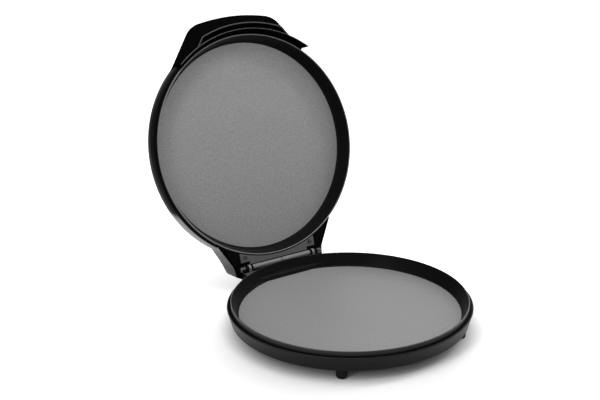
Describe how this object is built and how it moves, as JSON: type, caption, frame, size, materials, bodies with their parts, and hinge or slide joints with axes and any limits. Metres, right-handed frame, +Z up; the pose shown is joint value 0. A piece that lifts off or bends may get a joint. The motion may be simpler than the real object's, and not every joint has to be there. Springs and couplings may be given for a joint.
{
  "type": "electric pizza maker",
  "caption": "Round table-top pizza maker: a shallow heated pan in a dark base under a hinged, heated lid that stands open, with a wide grip at the lid's front edge.",
  "frame": {"origin": "on the worktop, under the middle of the round base", "axes": "+Z up, +Y to the hinge at the rear, -Y to the front where the closed lid's grip is, +X to the right seen from the front"},
  "size_m": [0.32, 0.4497, 0.3635],
  "materials": {
    "base_housing": "moulded, satin wall and glossy ledge",
    "base_hinge_plate": "fine black texture",
    "hinge_plate_screws": "zinc plated",
    "lower_baking_pan": "dark non-stick coating",
    "lower_heating_element": "heat-browned sheath",
    "lower_element_clamps": "plain sheet",
    "lower_clamp_screws": "zinc plated",
    "lower_reflector": "bright sheet",
    "base_screws": "blackened",
    "rubber_feet": "matt",
    "cord_gland": "matt",
    "terminal_block": "moulded",
    "thermostat": "moulded body on a steel tab",
    "thermal_fuse": "glass-fibre sleeve",
    "base_leads": "silicone sleeve",
    "hinge_rod": "blackened, with a cap at each end",
    "lid_housing": "high gloss",
    "handle_grip": "gloss, with a fingertip groove",
    "handle_screws": "blackened",
    "lid_hinge_bracket": "fine grey texture",
    "lid_bracket_screws": "blackened",
    "upper_baking_pan": "grey speckled non-stick coating",
    "upper_heating_element": "heat-browned sheath",
    "upper_element_clamps": "plain sheet",
    "upper_clamp_screws": "zinc plated",
    "upper_reflector": "bright sheet",
    "pan_clips": "spring steel",
    "lid_thermostat": "moulded body on a steel tab",
    "indicator_lenses": "translucent red",
    "indicator_lamps": "neon lamp in a clear sleeve",
    "lid_connector": "moulded",
    "lid_leads": "silicone sleeve"
  },
  "bodies": {
    "base": {"base_housing": "base_housing", "base_hinge_plate": "base_hinge_plate", "hinge_plate_screws": "hinge_plate_screws", "lower_baking_pan": "lower_baking_pan", "lower_heating_element": "lower_heating_element", "lower_element_clamps": "lower_element_clamps", "lower_clamp_screws": "lower_clamp_screws", "lower_reflector": "lower_reflector", "base_screws": "base_screws", "rubber_feet": "rubber_feet", "cord_gland": "cord_gland", "terminal_block": "terminal_block", "thermostat": "thermostat", "thermal_fuse": "thermal_fuse", "base_leads": "base_leads", "hinge_rod": "hinge_rod"},
    "lid": {"lid_housing": "lid_housing", "handle_grip": "handle_grip", "handle_screws": "handle_screws", "lid_hinge_bracket": "lid_hinge_bracket", "lid_bracket_screws": "lid_bracket_screws", "upper_baking_pan": "upper_baking_pan", "upper_heating_element": "upper_heating_element", "upper_element_clamps": "upper_element_clamps", "upper_clamp_screws": "upper_clamp_screws", "upper_reflector": "upper_reflector", "pan_clips": "pan_clips", "lid_thermostat": "lid_thermostat", "indicator_lenses": "indicator_lenses", "indicator_lamps": "indicator_lamps", "lid_connector": "lid_connector", "lid_leads": "lid_leads"}
  },
  "joints": [
    {"name": "lid_hinge", "type": "hinge", "parent": "base", "child": "lid", "pos_m": [0, 0.166, 0.035], "axis": [1, 0, 0], "range_deg": [0, 107]}
  ]
}
